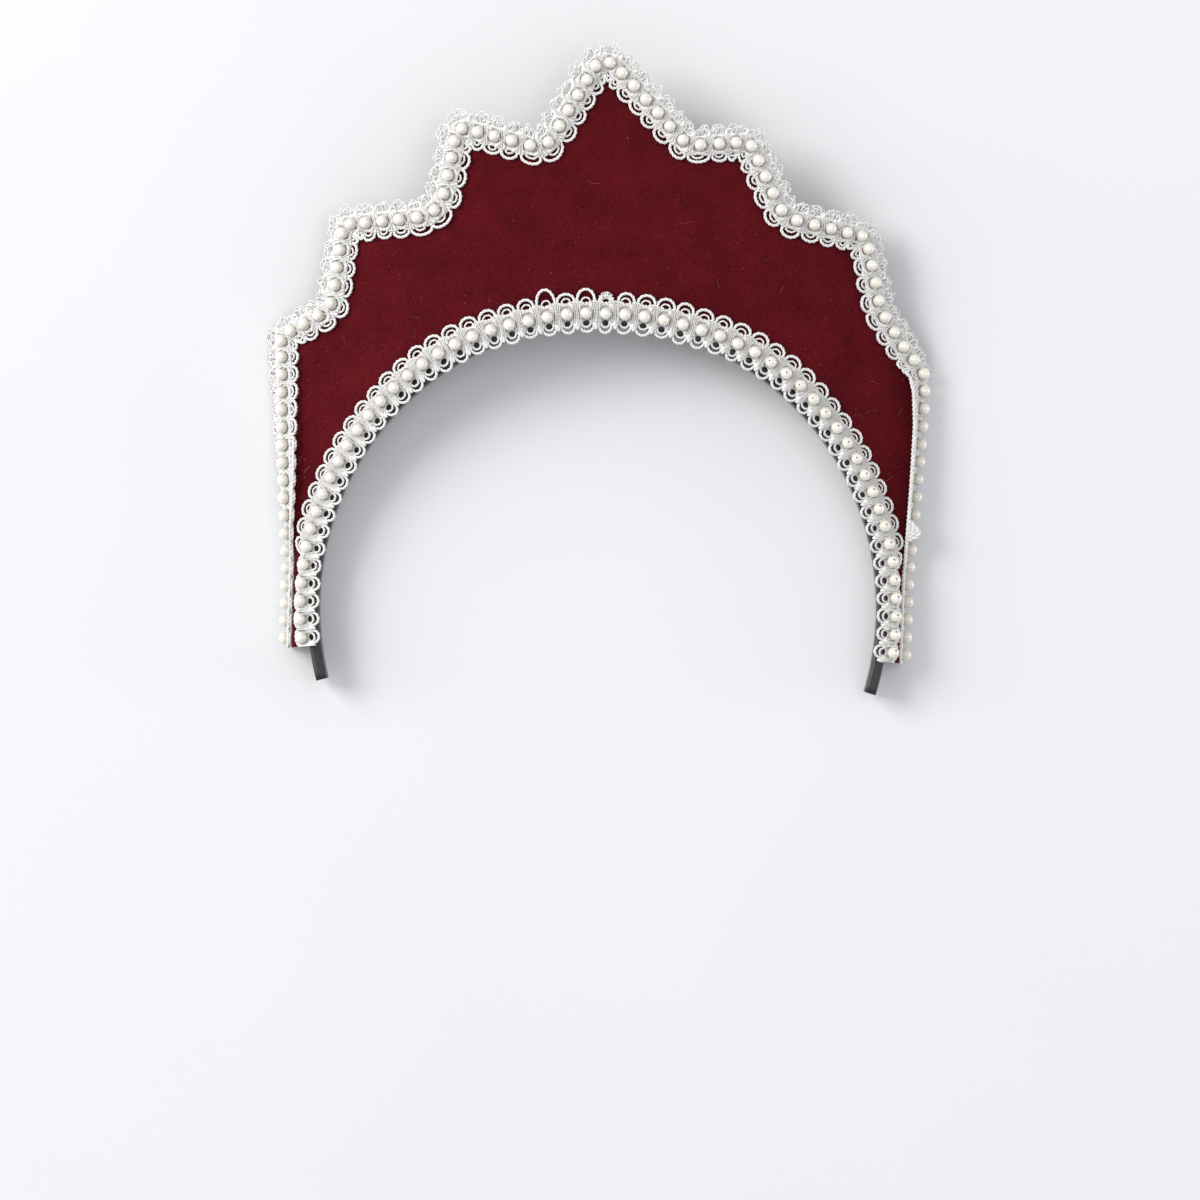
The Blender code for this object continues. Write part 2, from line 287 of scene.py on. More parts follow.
# The outer braid's join: a fold in place of a pearl
FOLD_REPEAT = 84
FOLD_STEPS = 40
FOLD_LINE = (
    # along the braid, height
    (-3.0, -0.5), (-2.1, 0.4), (-1.2, 1.4), (-0.4, 2.2), (0.5, 2.5), (1.3, 2.1), (2.0, 1.0), (2.7, -0.6),
)
FOLD_LAYERS = (1.0, 0.60, 0.25)
FOLD_STRANDS = (-2.6, -1.5, -0.4, 0.7, 1.8, 2.9, 4.0, 5.1)
FOLD_THICKNESS = 1.50 * MM
FOLD_PITCH = 3.4 * MM
FOLD_PLY = 0.22

# A snarl in place of one of the arch's loops
SNARL_REPEAT = 27
SNARL_STEPS = 300
SNARL_THICKNESS = 0.42 * MM
SNARL_OPENING = math.radians(112.0)
SNARL_HALF_WIDTH = 1.50
SNARL_MIDDLE = 3.60
SNARL_DEPTH = 1.60
SNARL_HEIGHT = -0.35
SNARL_LIFT = 0.30
SNARL_LIFTS = 0.7
SNARL_CURL = 0.42
SNARL_CURLS = 15.0
SNARL_UNEVEN = 1.5
SNARL_UNEVEN_WAVES = 3.0

# Drill holes seen in the arch's pearls, drawn as dark plugs of painted shade
DRILLED_FROM = 36
DRILL_RADIUS = 0.27 * MM
DRILL_DEPTHS = (1.40 * MM, 1.60 * MM, 1.86 * MM)
DRILL_LEAN_IN = 0.25
DRILL_LEAN_ALONG = 0.40
DRILL_LEAN_VARIES = 0.25

# Lint on the velvet
LINT = (
    # kind, how many, longest, steps, radius
    ("hairs", 22, 4.5, 14, 0.028),
    ("specks", 240, 0.35, 3, 0.075),
)
LINT_SIDES = 5
LINT_CURL = 1.6
LINT_SHORTEST = 0.4
LINT_STRETCH = (0.12, 0.88)

# Camera, at the photograph's angle
CAMERA_DISTANCE = 1500.0 * MM
FRAME_WIDTH = 348.0 * MM
FRAME_MIDDLE = (0.58 * MM, 2.32 * MM)
FRAME_ROLL = math.radians(1.5)
SENSOR_WIDTH = 36.0
CLIP_END = 10.0

# Studio, in metres
FLOOR_REACH = 4.0
SKY_COLOUR = (0.97, 0.98, 1.0)
SKY_STRENGTH = 0.62
LIGHTS = (
    # name, place, width, watts, colour
    ("key", (-2.05, 1.0, 2.0), 1.4, 64.0, (1.0, 0.985, 0.96)),
    ("fill", (0.35, 0.15, 1.5), 0.8, 4.0, (0.97, 0.98, 1.0)),
    ("left", (-1.4, 0.2, 0.4), 0.6, 5.5, (1.0, 0.985, 0.97)),
    ("side", (1.4, 0.0, 0.12), 0.6, 6.0, (1.0, 0.975, 0.94)),
)


# Shape of the crown

def bend(x):
    """How far the front lies behind its middle, x from the middle."""
    return BEND_DEPTH * (np.abs(x) / BEND_HALF_WIDTH) ** BEND_POWER


def bend_slope(x):
    """The slope of the bend at x."""
    steepness = BEND_POWER * BEND_DEPTH / BEND_HALF_WIDTH
    return np.sign(x) * steepness * (np.abs(x) / BEND_HALF_WIDTH) ** (BEND_POWER - 1.0)


def rounded(corners):
    """A line through corners, given as (x, y, rounding), with an arc in place of each rounded one."""
    line = []
    for index, (x, y, radius) in enumerate(corners):
        corner = Vector((x, y))
        if radius == 0.0 or index in (0, len(corners) - 1):
            line.append(corner)
            continue
        before = (Vector(corners[index - 1][:2]) - corner).normalized()
        after = (Vector(corners[index + 1][:2]) - corner).normalized()
        half_angle = before.angle(after) / 2.0
        centre = corner + (before + after).normalized() * (radius / math.sin(half_angle))
        start = corner + before * (radius / math.tan(half_angle)) - centre
        turn = start.angle_signed(corner + after * (radius / math.tan(half_angle)) - centre)
        for step in range(ARC_STEPS + 1):
            line.append(centre + Matrix.Rotation(-turn * step / ARC_STEPS, 2) @ start)
    return line


def board_edge():
    """The board's top edge in the front view, from the left leg's end over the apex to the right one."""
    left = [(lx * MM, ly * MM, rounding * MM) for _, lx, ly, _, _, rounding in EDGE_CORNERS]
    right = [(rx * MM, ry * MM, rounding * MM) for _, _, _, rx, ry, rounding in reversed(EDGE_CORNERS)]
    return rounded(left + [tuple(value * MM for value in APEX)] + right)


def divided(line, longest):
    """The same line, as an array, with its long straight stretches divided."""
    points = [line[0]]
    for start, end in zip(line, line[1:]):
        parts = max(1, math.ceil((end - start).length / longest))
        points += [start.lerp(end, part / parts) for part in range(1, parts + 1)]
    return np.array([tuple(point) for point in points])


def arch_line(radius, end_angle, sections):
    """An arc about the arch's centre, left end to right end, in the front view."""
    angles = end_angle * (2.0 * np.arange(sections + 1) / sections - 1.0)
    return np.column_stack((radius * np.sin(angles), radius * np.cos(angles)))


def arch_row_line(sections):
    """The line of the pearls along the arch, a little flatter than the arch at its top."""
    angles = ARCH_END_ANGLE * (2.0 * np.arange(sections + 1) / sections - 1.0)
    degrees, radii, _ = np.array(ARCH_ROW).T
    radius = np.interp(np.degrees(abs(angles)), degrees, radii) * MM
    return np.column_stack((radius * np.sin(angles), radius * np.cos(angles)))


def laid(points):
    """Points turned as the crown lies, before they are moved to their place."""
    cosine, sine = math.cos(REST_TILT), math.sin(REST_TILT)
    turn = np.array(((1.0, 0.0, 0.0), (0.0, cosine, -sine), (0.0, sine, cosine)))
    return np.asarray(points) @ turn.T


def band_outline():
    """The hair band's four long edges, as in the part's source, which give the crown's place."""
    outer = ARCH_RADIUS - GAP
    edges = []
    for radius in (outer, outer - BAND_THICKNESS):
        line = arch_line(radius, BAND_END_ANGLE, BAND_FACETS)
        front = -bend(arch_line(outer, BAND_END_ANGLE, BAND_FACETS)[:, 0]) - BAND_SET_BACK
        edges += [np.column_stack((line, front)), np.column_stack((line, front - BAND_WIDTH))]
    return np.concatenate(edges)


PLACE = np.array(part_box("hair_band")[0]) - laid(band_outline()).min(axis=0)


def settle(points):
    """Points of the upright crown, moved to where the CAD model lies."""
    return laid(points) + PLACE


# Meshes

def add_mesh(name, shape, material, node):
    """A smooth piece for a CAD node. A shape is its points, its faces and the painted shade at each point.
    """
    points, faces, painted_shades = shape
    mesh = bpy.data.meshes.new(name)
    mesh.from_pydata(settle(points).tolist(), [], faces)
    mesh.polygons.foreach_set("use_smooth", np.ones(len(mesh.polygons), dtype=bool))
    # painted shade at each point, which the finishes darken by
    mesh.attributes.new("painted_shade", "FLOAT", "POINT").data.foreach_set("value", painted_shades)
    mesh.materials.append(material)
    mesh.update()
    piece = bpy.data.objects.new(name, mesh)
    bpy.context.scene.collection.objects.link(piece)
    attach(piece, "root")
    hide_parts(node)
    return piece


def ring_faces(tubes, rings, sides):
    """Faces of several closed tubes whose points are numbered tube by tube, ring by ring."""
    ring, side = np.meshgrid(np.arange(rings - 1), np.arange(sides), indexing="ij")
    after = (side + 1) % sides
    quads = np.stack((ring * sides + side, ring * sides + after,
                      (ring + 1) * sides + after, (ring + 1) * sides + side), axis=-1).reshape(-1, 4)
    starts = np.arange(tubes) * rings * sides
    faces = (quads[None] + starts[:, None, None]).reshape(-1, 4).tolist()
    first = list(range(sides - 1, -1, -1))
    last = [(rings - 1) * sides + side for side in range(sides)]
    for start in starts.tolist():
        faces.append([start + index for index in first])
        faces.append([start + index for index in last])
    return faces


def unit(vectors):
    """Vectors of length one."""
    return vectors / np.linalg.norm(vectors, axis=-1, keepdims=True)


def cords(paths, ups, radii, sides=CORD_SIDES, pitch=TWIST_PITCH, ply=PLY_DEPTH, stitched=0.0):
    """Two-ply cords along paths that have the same number of points. Stitched ones swell at each stitch."""
    along = unit(np.gradient(paths, axis=1))
    first = unit(ups - (ups * along).sum(axis=-1, keepdims=True) * along)
    second = np.cross(along, first)
    steps = np.linalg.norm(np.diff(paths, axis=1), axis=-1)
    lengths = np.concatenate((np.zeros((len(paths), 1)), np.cumsum(steps, axis=1)), axis=1)
    around = math.tau * np.arange(sides) / sides
    angles = (math.tau * lengths / pitch)[..., None] + around
    swell = 1.0 + stitched * np.sin(math.tau * lengths / STITCH_PITCH)
    reach = (radii * swell)[..., None] * (1.0 - ply * np.sin(around) ** 2)
    points = (paths[:, :, None] + (reach * np.cos(angles))[..., None] * first[:, :, None]
              + (reach * np.sin(angles))[..., None] * second[:, :, None])
    # painted shade: darker where the plies meet and at each stitch's dip
    waist = np.broadcast_to(np.sin(around) ** 2 * (ply > 0.0), reach.shape)
    dip = (1.0 - np.sin(math.tau * lengths / STITCH_PITCH)[..., None]) / 2.0 * (stitched > 0.0)
    faces = ring_faces(len(paths), paths.shape[1], sides)
    return points.reshape(-1, 3), faces, np.maximum(waist, dip).ravel()


def joined(shapes):
    """Several shapes as one."""
    points, faces, painted_shades, count = [], [], [], 0
    for some_points, some_faces, some_painted_shades in shapes:
        points.append(some_points)
        painted_shades.append(some_painted_shades)
        faces += [[index + count for index in face] for face in some_faces]
        count += len(some_points)
    return np.concatenate(points), faces, np.concatenate(painted_shades)


def smooth(points, faces):
    """A shape without painted shade."""
    return points, faces, np.zeros(len(points))


# Braid paths

class Path:
    """A braid's path: its frames at close places from one end to the other, as in the part's source."""

    def __init__(self, line, side):
        points = divided([Vector(point) for point in line], PATH_STEP)
        solid = np.column_stack((points, -bend(points[:, 0])))
        steps = np.linalg.norm(np.diff(solid, axis=0), axis=1)
        self.places = np.concatenate(([0.0], np.cumsum(steps)))
        self.length = self.places[-1]
        along = np.diff(points, axis=0)
        normals = unit(np.column_stack((-along[:, 1], along[:, 0])))
        middles = (self.places[1:] + self.places[:-1]) / 2.0
        near = abs(middles[None] - self.places[:, None]) < FAN_REACH
        across = near @ normals / near.sum(axis=1)[:, None]
        slope = bend_slope(points[:, 0])
        outward = unit(np.column_stack((across, -slope * across[:, 0])))
        face = unit(np.column_stack((slope, np.zeros(len(slope)), np.ones(len(slope)))))
        rows = [side(x, y, lean) for (x, y), lean in zip(points, np.arctan(abs(slope)))]
        roll, set_back, self.out_reach, self.in_reach = np.array(rows).T
        cosine, sine = np.cos(roll)[:, None], np.sin(roll)[:, None]
        self.cross = outward * cosine - face * sine
        self.up = face * cosine + outward * sine
        self.base = solid + self.cross * set_back[:, None] + self.up * (GAP + BRAID_THICKNESS / 2.0)

    def read(self, values, place):
        """Values of the path at places along it."""
        if values.ndim == 1:
            return np.interp(place, self.places, values)
        return np.stack([np.interp(place, self.places, column) for column in values.T], axis=-1)

    def locate(self, place, v, w):
        """Points of the braid, and its upward direction there."""
        up = unit(self.read(self.up, place))
        cross = unit(self.read(self.cross, place))
        return self.read(self.base, place) + cross * v[..., None] + up * w[..., None], up


def outer_side(x, y, velvet_turn):
    """How the outer braid sits on the board's edge at a point of it."""
    _, heights, left_turns, right_turns, set_backs, in_reaches = zip(*reversed(SIDE_SECTIONS))
    heights = np.array(heights) * MM
    turns = np.radians(left_turns if x < 0.0 else right_turns)
    roll = max(0.0, np.interp(y, heights, turns) - velvet_turn) if y < heights[-1] else 0.0
    set_back, in_reach = (np.interp(y, heights, values) * MM for values in (set_backs, in_reaches))
    return roll, set_back, FREE_REACH, in_reach


def arch_side(edge):
    """How the arch's braid sits on the board, beside the board's top edge."""
    angles = [math.atan2(point.x, point.y) for point in edge]
    radii = [point.length for point in edge]

    def side(x, y, velvet_turn):
        room = np.interp(math.atan2(x, y), angles, radii) - math.hypot(x, y)
        degrees, _, reaches = np.array(ARCH_ROW).T
        reach = np.interp(math.degrees(abs(math.atan2(x, y))), degrees, reaches) * MM
        out_reach = min(reach, max(TIP_REACH, room / math.cos(velvet_turn) - LEG_CLEARANCE))
        return 0.0, 0.0, out_reach, ARCH_FREE_REACH

    return side


class Braid:
    """A braid on its path, with its repeats, and which side of it lies on the velvet."""

    def __init__(self, name, path, repeats, ease, velvet_outside):
        self.name = name
        self.path = path
        self.ease = ease
        self.velvet_sign = 1.0 if velvet_outside else -1.0
        self.repeats = repeats
        self.flatness = np.array([row[1:] for row in FLATNESS if row[0] == name]).T

    def place(self, repeat):
        """How far along the path a place is that is given in repeats."""
        part = np.clip(repeat / self.repeats, 0.0, 1.0)
        return self.path.length * (part - self.ease * np.sin(math.tau * part) / math.tau)

    def across(self, place, v):
        """Distances across the path for distances towards the velvet, fitted to the braid's reach there."""
        outside = v * self.velvet_sign > 0.0
        reach = np.where(outside, self.path.read(self.path.out_reach, place),
                         self.path.read(self.path.in_reach, place))
        nominal = np.where(v > 0.0, VELVET_REACH, FREE_REACH)
        return v * MM * self.velvet_sign * reach / nominal

    def height(self, place, w):
        """Heights of cords above the braid's middle, less where the braid is seen edge on."""
        places, kept = self.flatness
        return (LACE_FLOOR + (w - LACE_FLOOR) * np.interp(place / MM, places, kept)) * MM

    def locate(self, u, v, w):
        """Points of every repeat, u along it, v towards the velvet and w up, in mm as (repeats, points)."""
        repeat = np.arange(self.repeats)[:, None] + 0.5 + u / (PEARL_PITCH / MM)
        place = self.place(repeat)
        return self.path.locate(place, self.across(place, v), self.height(place, w))

    def seats(self, indices):
        """Where pearls sit: the braid's middle there, and its directions up, across and along it."""
        places = self.place(indices + 0.5)
        zero = np.zeros(len(places))
        middle, up = self.path.locate(places, zero, zero)
        cross = unit(self.path.read(self.path.cross, places))
        return middle, up, cross, np.cross(up, cross)

    def spread(self, values):
        """One row of values, the same for every repeat."""
        return np.broadcast_to(np.asarray(values, dtype=float), (self.repeats, len(values)))

    def vary(self, amount):
        """A small random value for each repeat."""
        return random.uniform(-amount, amount, (self.repeats, 1))


def loop_growth(braid, piece, velvet):
    """How much longer and wider the loops of one kind are than usual, one row for each repeat."""
    growth = np.ones((braid.repeats, 2))
    for name, kind, side, repeat, longer, wider in LOOSE_LOOPS:
        if (name, kind, side) == (braid.name, piece, velvet):
            growth[repeat] = longer, wider
    return growth[:, :1], growth[:, 1:]


def loop_cords(braid, piece):
    """The braid's loops of one kind, on both of its sides."""
    shapes = []
    for name, kind, velvet, half_width, middle, depth, opening, thickness, height, loose in LOOPS:
        if (name, kind) != (braid.name, piece):
            continue
        sign = 1.0 if velvet else -1.0
        longer, wider = loop_growth(braid, piece, velvet)
        arc = math.radians(opening)
        count = round(arc * (half_width + depth) / (CORD_STEP / MM))
        phi = np.linspace(-arc, arc, count)
        rise = (1.0 + np.cos(phi)) / 2.0
        u = half_width * np.sin(phi) * wider * (1.0 + braid.vary(loose)) + braid.vary(2.0 * loose) * rise
        v = middle + depth * np.cos(phi) * longer * (1.0 + braid.vary(loose)) + braid.vary(loose)
        w = LOOP_FOOT + (height - LOOP_FOOT) * rise + braid.vary(loose)
        points, ups = braid.locate(u, sign * v, w)
        shapes.append(cords(points, ups, np.full(count, thickness / 2.0 * MM)))
    return joined(shapes)


def picots(braid):
    """The fine uneven loops that fringe the free side."""
    count = round(2.0 * PICOT_OPENING / PICOT_STEP)
    phi = np.linspace(-PICOT_OPENING, PICOT_OPENING, count)
    rise = (1.0 + np.cos(phi)) / 2.0
    shapes = []
    for shift, half_width, middle, depth, height, loose in PICOTS:
        u = shift + braid.vary(PICOT_DRIFT) + half_width * (1.0 + braid.vary(loose)) * np.sin(phi)
        u = u + braid.vary(PICOT_LEAN) * rise
        v = middle + braid.vary(loose) + depth * (1.0 + braid.vary(loose)) * np.cos(phi)
        w = LOOP_FOOT + (height - LOOP_FOOT) * rise + braid.vary(PICOT_LIFT)
        w = w + braid.vary(PICOT_TILT) * np.sin(phi)
        points, ups = braid.locate(u, -v, w)
        radii = np.full(count, PICOT_THICKNESS / 2.0 * MM)
        shapes.append(cords(points, ups, radii, sides=PICOT_SIDES, stitched=STITCH_DEPTH))
    points, faces, painted_shades = joined(shapes)
    # painted shade at the stitches, weaker on the picots
    return points, faces, painted_shades * PICOT_SHADE


def body_strands(braid):
    """The threads that bind the loops and the pearls together."""
    shapes = []
    step = CORD_STEP / MM
    half = PEARL_PITCH / MM / 2.0

    def strand(u, v, w, thickness, stitched=0.0):
        points, ups = braid.locate(braid.spread(u) + braid.vary(STRAND_DRIFT),
                                   braid.spread(v) + braid.vary(STRAND_DRIFT),
                                   braid.spread(w) + braid.vary(STRAND_LIFT))
        radii = np.full(len(u), thickness / 2.0 * MM)
        shapes.append(cords(points, ups, radii, sides=STRAND_SIDES, stitched=stitched))

    end = half + ZIGZAG_OVERLAP
    u = np.linspace(-end, end, round(2.0 * half * ZIGZAG_STEPS / step))
    phase = math.pi * u / half
    for turn in (0.0, math.pi):
        wave = ZIGZAG_WAVES * phase + turn
        v = ZIGZAG_MIDDLE - ZIGZAG_SCALLOP * np.cos(phase) + ZIGZAG_SWING * np.cos(wave)
        strand(u, v, ZIGZAG_HEIGHT + ZIGZAG_WEAVE * np.sin(wave), ZIGZAG_THICKNESS)
    row = next(row for row in CROSS_STRANDS if row[0] == braid.name)
    _, number, spacing, lean, thickness, stitched = row
    v = np.linspace(CROSS_START, CROSS_END, round((CROSS_END - CROSS_START) / step))
    w = CROSS_HEIGHT + CROSS_ARCH_HEIGHT * np.cos(math.pi * (v - CROSS_MIDDLE) / CROSS_ARCH_LENGTH)
    for index in range(number):
        place = half + (index - (number - 1) / 2.0) * spacing
        strand(place + lean * np.sin(CROSS_WAVE * v + index), v, w, thickness, stitched)
    return joined(shapes)


def lace_body(braid):
    """The lace under the threads: a knitted strip, drawn in at each loop and hollow round each pearl."""
    count = round(braid.path.length / LACE_STEP)
    repeat = np.linspace(0.0, braid.repeats, count)
    phase = np.cos(math.tau * (repeat - 0.5))
    row = next(row for row in LACE_EDGES if row[0] == braid.name)
    _, velvet_edge, velvet_drawn, free_edge, free_drawn = row
    velvet = velvet_edge - velvet_drawn * phase
    free = -(free_edge - free_drawn * phase)
    face = np.linspace(0.0, 1.0, LACE_COLUMNS)
    back = np.linspace(1.0, 0.0, LACE_BACK_COLUMNS + 2)[1:-1]
    v = free[:, None] + (velvet - free)[:, None] * np.concatenate((face, back))
    u = repeat[:, None] * PEARL_PITCH / MM
    top = v[:, :LACE_COLUMNS]
    edge = np.sqrt(np.clip(1.0 - (2.0 * face - 1.0) ** LACE_EDGE_POWER, 0.0, 1.0))
    knit = np.maximum(np.cos(math.tau * (u + top) / LACE_KNIT), np.cos(math.tau * (u - top) / LACE_KNIT))
    swell = LACE_SWELL * np.cos(math.tau * repeat[:, None]) * np.cos(math.pi * top / LACE_SWELL_WIDTH)
    beside = (repeat[:, None] - np.floor(repeat[:, None]) - 0.5) * PEARL_PITCH / MM
    pit = np.clip((LACE_PIT_RADIUS - np.hypot(beside, top)) / LACE_PIT_FADE, 0.0, 1.0)
    w = LACE_FLOOR + (LACE_HEIGHT + swell + LACE_KNIT_DEPTH * knit - LACE_PIT_DEPTH * pit) * edge
    w = np.concatenate((w, np.full((count, LACE_BACK_COLUMNS), LACE_FLOOR)), axis=1)
    place = np.broadcast_to(braid.place(repeat)[:, None], v.shape)
    points, _ = braid.path.locate(place, braid.across(place, v), braid.height(place, w))
    # painted shade in the knit's hollows and in the hollow round each pearl
    painted_shades = np.maximum(LACE_SHADE + (1.0 - LACE_SHADE) * (1.0 - knit) / 2.0, pit)
    painted_shades = np.concatenate((painted_shades, np.ones((count, LACE_BACK_COLUMNS))), axis=1)
    return points.reshape(-1, 3), ring_faces(1, count, v.shape[1]), painted_shades.ravel()


def edge_ropes(braid):
    """The twisted rope that the loops' ends make where the braid is seen edge on."""
    shapes = []
    for name, start, end, thickness, sunk in EDGE_ROPES:
        if name != braid.name:
            continue
        place = np.arange(start * MM, min(end * MM, braid.path.length), ROPE_STEP)[None]
        v = np.full(place.shape, VELVET_REACH / MM - ROPE_INSET)
        points, ups = braid.path.locate(place, braid.across(place, v), np.full(place.shape, sunk * MM))
        radii = np.full(place.shape, thickness / 2.0 * MM)
        shapes.append(cords(points, ups, radii, pitch=ROPE_PITCH, ply=ROPE_PLY))
    return joined(shapes)


def fold_cords(braid):
    """The small fold where the braid's two ends meet, in place of a pearl."""
    line = np.array(FOLD_LINE)
    part = np.linspace(0.0, len(line) - 1.0, FOLD_STEPS)
    u, w = (np.interp(part, np.arange(len(line)), column) for column in line.T)
    shapes = []
    for layer in FOLD_LAYERS:
        repeat = FOLD_REPEAT + 0.5 + u * layer / (PEARL_PITCH / MM)
        place = np.broadcast_to(braid.place(repeat), (len(FOLD_STRANDS), len(u)))
        v = np.broadcast_to(np.array(FOLD_STRANDS)[:, None], place.shape)
        height = np.broadcast_to((w[0] + (w - w[0]) * layer) * MM, place.shape)
        points, _ = braid.path.locate(place, braid.across(place, v), height)
        radii = np.full(place.shape, FOLD_THICKNESS / 2.0)
        ups = braid.path.read(braid.path.cross, place)
        shapes.append(cords(points, ups, radii, pitch=FOLD_PITCH, ply=FOLD_PLY))
    return joined(shapes)


def snarl(braid):
    """The snarled thread that takes the place of one of the arch's loops."""
    turn = np.linspace(-SNARL_OPENING, SNARL_OPENING, SNARL_STEPS)[None]
    curl = SNARL_CURLS * turn + SNARL_UNEVEN * np.sin(SNARL_UNEVEN_WAVES * turn)
    u = SNARL_HALF_WIDTH * np.sin(turn) + SNARL_CURL * np.cos(curl)
    v = SNARL_MIDDLE + SNARL_DEPTH * np.cos(turn) + SNARL_CURL * np.sin(curl)
    w = SNARL_HEIGHT + SNARL_LIFT * np.cos(SNARL_LIFTS * curl)
    place = braid.place(SNARL_REPEAT + 0.5 + u / (PEARL_PITCH / MM))
    points, ups = braid.path.locate(place, braid.across(place, v), braid.height(place, w))
    return cords(points, ups, np.full(turn.shape, SNARL_THICKNESS / 2.0), sides=STRAND_SIDES)


def knot_cords(braid):
    """The plump wound ovals between the loops of the free side."""
    along, across, upward = KNOT_DRIFT
    part = np.linspace(-1.0, 1.0, KNOT_STEPS)
    u = braid.spread(np.full(KNOT_STEPS, PEARL_PITCH / MM / 2.0)) + braid.vary(along)
    v = KNOT_MIDDLE + KNOT_HALF_LENGTH * part + braid.vary(across)
    w = -KNOT_DROOP * part ** 2 + braid.vary(upward)
    points, ups = braid.locate(u, v, w)
    radii = KNOT_RADIUS * np.sqrt(1.0 - (KNOT_FULLNESS * part) ** 2)
    return cords(points, ups, radii, sides=KNOT_SIDES, pitch=KNOT_PITCH, ply=KNOT_PLY)


def pearls(braid):
    """Round pearls on the braid, each a little different."""
    pole = math.pi / 2.0 - PEARL_POLE
    rise = np.linspace(pole, -pole, PEARL_RINGS)
    around = math.tau * np.arange(PEARL_SIDES) / PEARL_SIDES
    indices = np.arange(braid.repeats)
    if braid.name == "outer_braid":
        indices = np.delete(indices, FOLD_REPEAT)
    count = len(indices)
    middle, up, cross, along = braid.seats(indices)
    radius = PEARL_DIAMETER / 2.0 * (1.0 + random.uniform(-PEARL_SMALLER, PEARL_LARGER, count))
    centre = middle + up * PEARL_LIFT + cross * random.uniform(-PEARL_DRIFT, PEARL_DRIFT, (count, 1))
    level = radius[:, None] * np.sin(rise)
    width = radius[:, None] * np.cos(rise)
    points = (centre[:, None, None] + level[:, :, None, None] * up[:, None, None]
              + (width[..., None] * np.cos(around))[..., None] * cross[:, None, None]
              + (width[..., None] * np.sin(around))[..., None] * along[:, None, None])
    # painted shade: darker from a ring round the top down to the foot
    lower = np.clip((PEARL_SHADE_TOP - rise) / PEARL_SHADE_FADE, 0.0, 1.0)
    shade = np.broadcast_to(lower[None, :, None], width.shape + (PEARL_SIDES,))
    return points.reshape(-1, 3), ring_faces(count, PEARL_RINGS, PEARL_SIDES), shade.ravel()


def drill_holes(braid):
    """The drill holes that show in the pearls of the arch's right side, drawn as dark plugs of painted
    shade.
    """
    indices = np.arange(DRILLED_FROM, braid.repeats)
    middle, up, cross, along = braid.seats(indices)
    lean = random.uniform(-DRILL_LEAN_VARIES, DRILL_LEAN_VARIES, (2, len(indices), 1))
    axis = unit(up + cross * (lean[0] - DRILL_LEAN_IN) + along * (lean[1] + DRILL_LEAN_ALONG))
    reach = np.array(DRILL_DEPTHS)[None, :, None]
    line = (middle + up * PEARL_LIFT)[:, None] + axis[:, None] * reach
    ups = np.broadcast_to(cross[:, None], line.shape)
    return cords(line, ups, np.full(line.shape[:2], DRILL_RADIUS), ply=0.0)


def lint(edge):
    """Stray fibres and specks caught in the velvet's pile."""
    outer = divided(edge, COVER_STEP)
    shapes = []
    for _, number, longest, steps, radius in LINT:
        chosen = outer[random.integers(0, len(outer), number)]
        inner = unit(chosen) * ARCH_RADIUS
        start = inner + (chosen - inner) * random.uniform(*LINT_STRETCH, (number, 1))
        turn = random.uniform(0.0, math.tau, (number, 1))
        curl = random.uniform(-LINT_CURL, LINT_CURL, (number, 1))
        heading = turn + curl * np.linspace(0.0, 1.0, steps)[None]
        size = random.uniform(LINT_SHORTEST, 1.0, (number, 1)) * longest * MM / steps
        x = start[:, :1] + np.cumsum(np.cos(heading), axis=1) * size
        y = start[:, 1:] + np.cumsum(np.sin(heading), axis=1) * size
        points = np.stack((x, y, -bend(x) + radius * MM), axis=-1)
        ups = np.broadcast_to(np.array((0.0, 0.0, 1.0)), points.shape)
        shapes.append(cords(points, ups, np.full(x.shape, radius * MM), sides=LINT_SIDES, ply=0.0))
    return joined(shapes)


# Velvet cover and hair band

def cover_profile():
    """The cover's cut from the arch out: part of the width, offset from there, depth behind the front."""
    quarter = np.linspace(0.0, math.pi / 2.0, COVER_ROUND_STEPS + 1)[1:]
    arc = [(COVER_ROUNDING * (1.0 - math.sin(angle)), COVER_ROUNDING * (1.0 - math.cos(angle)))
           for angle in quarter]

    def rows(count):
        parts = (1.0 - np.cos(np.linspace(0.0, math.pi, count))) / 2.0
        return [(part, COVER_ROUNDING * (1.0 - 2.0 * part)) for part in parts]

    profile = [(part, offset, 0.0) for part, offset in rows(COVER_FRONT_ROWS)]
    profile += [(1.0, -inset, depth) for inset, depth in arc]
    profile += [(1.0, -inset, BOARD_THICKNESS - depth) for inset, depth in reversed(arc)]
    profile += [(part, offset, BOARD_THICKNESS) for part, offset in reversed(rows(COVER_BACK_ROWS))]
    profile += [(0.0, inset, BOARD_THICKNESS - depth) for inset, depth in arc]
    profile += [(0.0, inset, depth) for inset, depth in reversed(arc)]
    return np.array(profile).T


def cover(edge):
    """The velvet over the board: soft round edges, and a front that isn't quite even."""
    outer = divided(edge, COVER_STEP)
    inner = unit(outer) * ARCH_RADIUS
    width = np.linalg.norm(outer - inner, axis=1)
    part, offset, depth = cover_profile()
    distance = width[:, None] * part + offset
    flat = inner[:, None] + unit(outer - inner)[:, None] * distance[..., None]
    x, y = flat[..., 0], flat[..., 1]
    sway = COVER_SWELL_SWAY * np.sin(y / COVER_SWAY_HEIGHT)
    swell = np.sin(x / COVER_SWELL_WIDTH + sway) * np.sin(y / COVER_SWELL_HEIGHT)
    z = -bend(x) - depth + COVER_SOFTNESS * (swell - 1.0) * (depth < BOARD_THICKNESS / 2.0)
    points = np.concatenate((flat, z[..., None]), axis=-1)
    return smooth(points.reshape(-1, 3), ring_faces(1, len(outer), len(part)))


